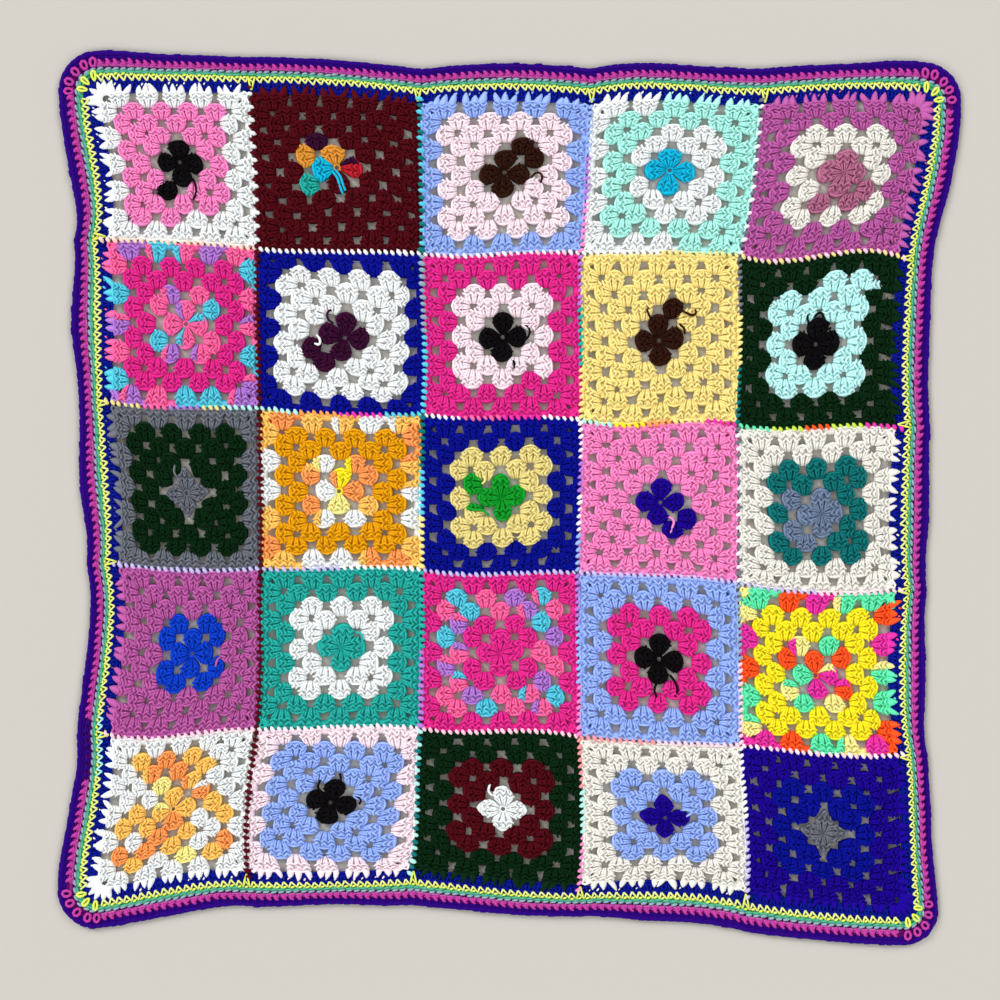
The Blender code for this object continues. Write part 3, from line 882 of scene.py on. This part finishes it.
# The soft bands under a round's loops: middle, width and height, yarn, yarn at the corners.
BORDER_BANDS = {
    "border_blue": [(2.0, 5.0, 3.2, "edge_blue", "edge_blue"),
                    (7.2, 6.4, 3.6, "edge_blue", "edge_blue")],
    "border_yellow": [(0.8, 4.8, 3.2, "edge_blue", "edge_blue"),
                      (4.2, 3.6, 3.8, "edge_leaf", "edge_green")],
    "border_green": [(1.3, 3.6, 3.8, "edge_green", "edge_green"),
                     (3.6, 2.8, 3.2, "edge_plum", "edge_plum")],
    # The band under the flames is magenta yarn in a darker colour: painted shade between the flames.
    "border_magenta": [(1.9, 4.8, 3.4, "edge_berry", "edge_plum"),
                       (5.0, 4.6, 3.0, "edge_plum", "edge_plum")],
    "border_violet": [(1.4, 5.0, 3.6, "edge_violet", "edge_violet"),
                      (4.9, 5.4, 4.4, "edge_violet", "edge_violet")],
}
# Each stitch of a round: (mesh, yarn) parts, along and out from the round's start.
BORDER_STITCHES = {
    "border_blue": [(legs(0.0, 6.6, 2.4, 2.2, 3.8), "edge_blue"), (bar(7.0, 8.6, 2.2, 3.4), "edge_blue"),
                    (bar(-1.8, -0.8, 2.6, 2.8), "edge_blue")],
    "border_yellow": [(zigzag(3.9, -1.7, 1.7, 5.0), "edge_cream"), (blob(3.6, 2.3, 4.9), "edge_yellow")],
    "border_green": [(bar(-0.6, 0.6, 2.4, 4.3), "edge_green"), (bar(1.8, 3.4, 2.5, 4.4, 2.5), "edge_grey")],
    "border_magenta": [(bar(0.6, 1.4, 2.0, 3.8), "edge_rose"), (bar(1.8, 3.4, 2.0, 4.0), "edge_magenta")],
    "border_violet": [(legs(1.8, 5.6, 2.2, 2.4, 3.4), "edge_violet"),
                      (bar(5.2, 6.3, 3.0, 3.2), "edge_violet")],
}
# A band's section, as shares of its width and height.
BAND_SECTION = ((-0.5, 0.1), (-0.34, 0.78), (0.0, 1.0), (0.34, 0.78), (0.5, 0.1))
BAND_SWELL = 0.07
CORNER_YARN_REACH = 20  # how far each side of a corner a band is in its corner yarn
CORNER_CLEAR = {"border_magenta": 24, "border_yellow": 14}  # kept free for the corner's long loops
LOOP_STEP = 9.6
LONG_LOOP_STEP = 9.0
# The stretch of the left side where the border was joined, and what its yarns change to.
JOIN_X = -370
JOIN_Y = (-262, -206)
JOIN_YARNS = {"edge_cream": "mint", "edge_magenta": "edge_violet", "edge_rose": "edge_plum"}


def add_band(work, path, count, middle, width, height, yarn, corner_yarn):
    """A closed band all round the blanket, with a slight swell at each stitch."""
    rings = count * 2 if yarn == "edge_violet" else count
    along = np.arange(rings) * path.length / rings
    swell = 1 + BAND_SWELL * (-1.0) ** np.arange(rings)
    points = []
    for across, up in BAND_SECTION:
        flat = path.place(along, middle + across * width * swell)
        points.append(np.column_stack([flat, height * up * swell]))
    points = np.stack(points, 1).reshape(-1, 3)
    sides = len(BAND_SECTION)
    start = np.arange(rings) * sides
    near = np.stack([start + j for j in range(sides)], 1)
    beyond = np.roll(near, -1, 0)
    quads = np.stack([near, np.roll(near, -1, 1), np.roll(beyond, -1, 1), beyond], -1)
    to_corner = np.min([abs(along - place) for place in corner_places(path)], 0)
    at_corner = to_corner < CORNER_YARN_REACH
    work.add(points, [[quads[~at_corner].reshape(-1, 4)], [quads[at_corner].reshape(-1, 4)]],
             [yarn, corner_yarn])


def corner_places(path):
    """How far round the path the four corners are."""
    return [path.at[SIDE_STEPS * (k + 1) + CORNER_STEPS * k + CORNER_STEPS // 2] for k in range(4)]


def seam_places(path):
    """How far round the path the seams' ends are."""
    return [path.at[(SIDE_STEPS + CORNER_STEPS) * side + STEPS_A_SQUARE * i]
            for side in range(4) for i in range(1, COLUMNS)]


def add_border(name):
    """One round of the border: its soft bands, its stitches and the long loops at its corners."""
    start, end, nominal = ROUNDS[name]
    path = Round(start, end, nominal)
    count = round(path.length / STITCH_PITCH)
    corners, seams = corner_places(path), seam_places(path)
    bands, loops = Knitwork(), Knitwork()
    widest = max(BORDER_BANDS[name], key=lambda band: band[1])
    for band in BORDER_BANDS[name]:
        add_band(bands if band is widest else loops, path, count, *band)

    def put(stitch, middle, out, yarn, lift=0.0, grow=1.0):
        points = stitch[0]
        flat = path.place(middle + points[:, 0] * grow, out + points[:, 1])
        loops.add(np.column_stack([flat, points[:, 2] + lift]), stitch[1], yarn)

    for k in range(count):
        middle = (k + 0.5) * path.length / count + CHANCE.normal(0, 0.25)
        to_corner = min(abs(middle - c) for c in corners)
        at_seam = min(abs(middle - c) for c in seams) < 0.5 * path.length / count
        lift = CHANCE.normal(0, 0.1)
        grow = 1 + CHANCE.normal(0, 0.05)
        if to_corner < CORNER_CLEAR.get(name, 0):
            continue
        here = path.place(middle, 0)
        joined_here = here[0] < JOIN_X and JOIN_Y[0] < here[1] < JOIN_Y[1]
        if name == "border_magenta":
            put(FLAME, middle, 1.2 + CHANCE.normal(0, 0.3),
                "edge_violet" if joined_here else "edge_magenta", lift)
        if name == "border_yellow" and at_seam:
            put(SPIKE, middle, 0, "edge_yellow", lift)
        for stitch, yarn in BORDER_STITCHES[name]:
            if joined_here:
                yarn = JOIN_YARNS.get(yarn, yarn)
            put(stitch, middle, CHANCE.normal(0, 0.3), yarn, lift, grow)
    for corner in corners:
        if name == "border_magenta":
            for step in (-2, -1, 0, 1, 2):
                put(LOOP, corner + step * LOOP_STEP + CHANCE.normal(0, 0.6),
                    4.2 + CHANCE.normal(0, 0.4), "edge_magenta")
        if name == "border_yellow":
            for step in (-1, 0, 1):
                put(LONG_LOOP, corner + step * LONG_LOOP_STEP + CHANCE.normal(0, 0.6), 3.0, "edge_yellow")
    piece, over = bands.finish(name + "_crochet"), loops.finish(name + "_loops")
    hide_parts(name)


# ---------------------------------------------------------------- the seams

# Yarns along each seam: "a > b" runs from one to the next, "a + b" takes them by turns.
SEAMS_DOWN = (
    ("white + burgundy", "burgundy", "burgundy", "burgundy", "burgundy"),
    ("teal + aqua", "edge_grey > aqua", "teal > aqua > butter", "sea_green > lilac", "mint + teal"),
    ("periwinkle > lilac > pink", "lilac > sea_green > butter", "pale_pink > lilac > white > periwinkle",
     "lilac > periwinkle > pink", "salmon > mint > pink"),
    ("white + grey", "grey > butter > teal", "grey + white", "edge_grey > blush", "white > lavender"),
)
SEAMS_ACROSS = (
    ("peach", "white", "white + blush", "white > cream", "cream + blush"),
    ("cream > coral > lilac > cream > mint", "mint > orange > magenta > aqua",
     "white > coral > magenta > white",
     "mint > yellow > orange > cream > magenta", "neon_mint > lime > neon_orange > lime > magenta"),
    ("lavender", "lavender > white", "lavender", "lavender", "lavender > blush"),
    ("blush", "pale_pink", "blush", "salmon > blush", "pale_pink + blush"),
)


def seam_yarn(text, share, number):
    """The yarn of a whip stitch, from its share of the way along a seam and its number in it."""
    if "+" in text:
        names = text.split(" + ")
        return names[number % len(names)]
    names = text.split(" > ")
    return names[min(int(share * len(names)), len(names) - 1)]


def add_seam(name, path_of, yarns, parts, stitch):
    """Whip stitches along one seam line: path_of(part, t) gives its points."""
    work = Knitwork()
    for part in range(parts):
        t = np.linspace(0, 1, 41)
        line = path_of(part, t)
        at = np.concatenate([[0], np.cumsum(np.linalg.norm(np.diff(line, axis=0), axis=1))])
        count = round(at[-1] / WHIP_PITCH)
        # One stitch more past each end of the whole line.
        for k in range(-1 if part == 0 else 0, count + (1 if part == parts - 1 else 0)):
            middle = (k + 0.5) / count
            share = np.interp(middle * at[-1], at, t) if 0 <= middle <= 1 else middle
            here = path_of(part, np.array([share]))[0]
            ahead = path_of(part, np.array([share + 0.01]))[0] - here
            ahead = ahead / np.linalg.norm(ahead)
            left = np.array((-ahead[1], ahead[0]))
            points = stitch[0] * (1 + CHANCE.normal(0, 0.06))
            points = points + np.array((CHANCE.normal(0, 0.2), CHANCE.normal(0, 0.2), 0))
            flat = here + points[:, :1] * ahead + points[:, 1:2] * left
            work.add(np.column_stack([flat, points[:, 2]]), stitch[1],
                     seam_yarn(yarns[part], min(max(middle, 0), 0.999), k))
    return work.finish(name)


# ---------------------------------------------------------------- the scene

FLOOR_SIZE = 60  # metres, which keeps its edge out of views from 20 degrees up
# Soft light from low windows all round, a little stronger from the top left: x, y, strength.
SUNS = ((-1, 1, 2.1), (1, 1, 1.2), (1, -1, 0.9), (-1, -1, 1.3))
SUN_TILT = 60  # degrees
SUN_WIDTH = 25
SKY_STRENGTH = 0.46
VIEW_MIDDLE = (-4.7, -0.94)  # millimetres, on the layout of the squares
VIEW_ACROSS = 0.94  # metres
CAMERA_HEIGHT = 1.6
SENSOR = 36  # millimetres


def add_stage():
    """A plain pale floor and plain soft light."""
    bpy.ops.object.select_all(action="DESELECT")
    bpy.ops.mesh.primitive_plane_add(size=FLOOR_SIZE)
    floor = bpy.context.object
    floor.name = "floor"
    material = bpy.data.materials.new("plain_pale_floor")
    material.use_nodes = True
    shader = material.node_tree.nodes["Principled BSDF"]
    shader.inputs["Base Color"].default_value = linear("#bcb8b1")
    shader.inputs["Roughness"].default_value = 0.9
    floor.data.materials.append(material)
    world = bpy.data.worlds.new("soft_studio")
    bpy.context.scene.world = world
    world.use_nodes = True
    world.node_tree.nodes["Background"].inputs["Color"].default_value = (1, 1, 1, 1)
    world.node_tree.nodes["Background"].inputs["Strength"].default_value = SKY_STRENGTH
    for from_x, from_y, energy in SUNS:
        bpy.ops.object.light_add(type="SUN", location=(from_x, from_y, 1.0))
        sun = bpy.context.object
        sun.rotation_euler = (0, math.radians(SUN_TILT), math.atan2(from_y, from_x))
        sun.data.energy = energy
        sun.data.angle = math.radians(SUN_WIDTH)


def add_camera():
    """A camera straight above, that takes in VIEW_ACROSS at the floor."""
    middle = (np.array(VIEW_MIDDLE) - ORIGIN) * MM
    bpy.ops.object.camera_add(location=(middle[0], middle[1], CAMERA_HEIGHT), rotation=(0, 0, 0))
    camera = bpy.context.object
    camera.data.sensor_width = SENSOR
    camera.data.lens = SENSOR * CAMERA_HEIGHT / VIEW_ACROSS
    bpy.context.scene.camera = camera


def main():
    bpy.context.scene.view_settings.view_transform = "Standard"
    add_stage()
    add_camera()
    for row in range(ROWS):
        for column in range(COLUMNS):
            add_square(row, column)
    for name in ROUNDS:
        add_border(name)
    for i in range(4):
        piece = add_seam(f"whip_seam_down_{i + 1}", lambda part, t, i=i: seam_down(i + 1, part, t),
                         SEAMS_DOWN[i], ROWS, WHIP if i < 2 else FINE_WHIP)
        piece = add_seam(f"whip_seam_across_{i + 1}", lambda part, t, i=i: seam_across(i + 1, part, t),
                         SEAMS_ACROSS[i], COLUMNS, FINE_WHIP)


main()
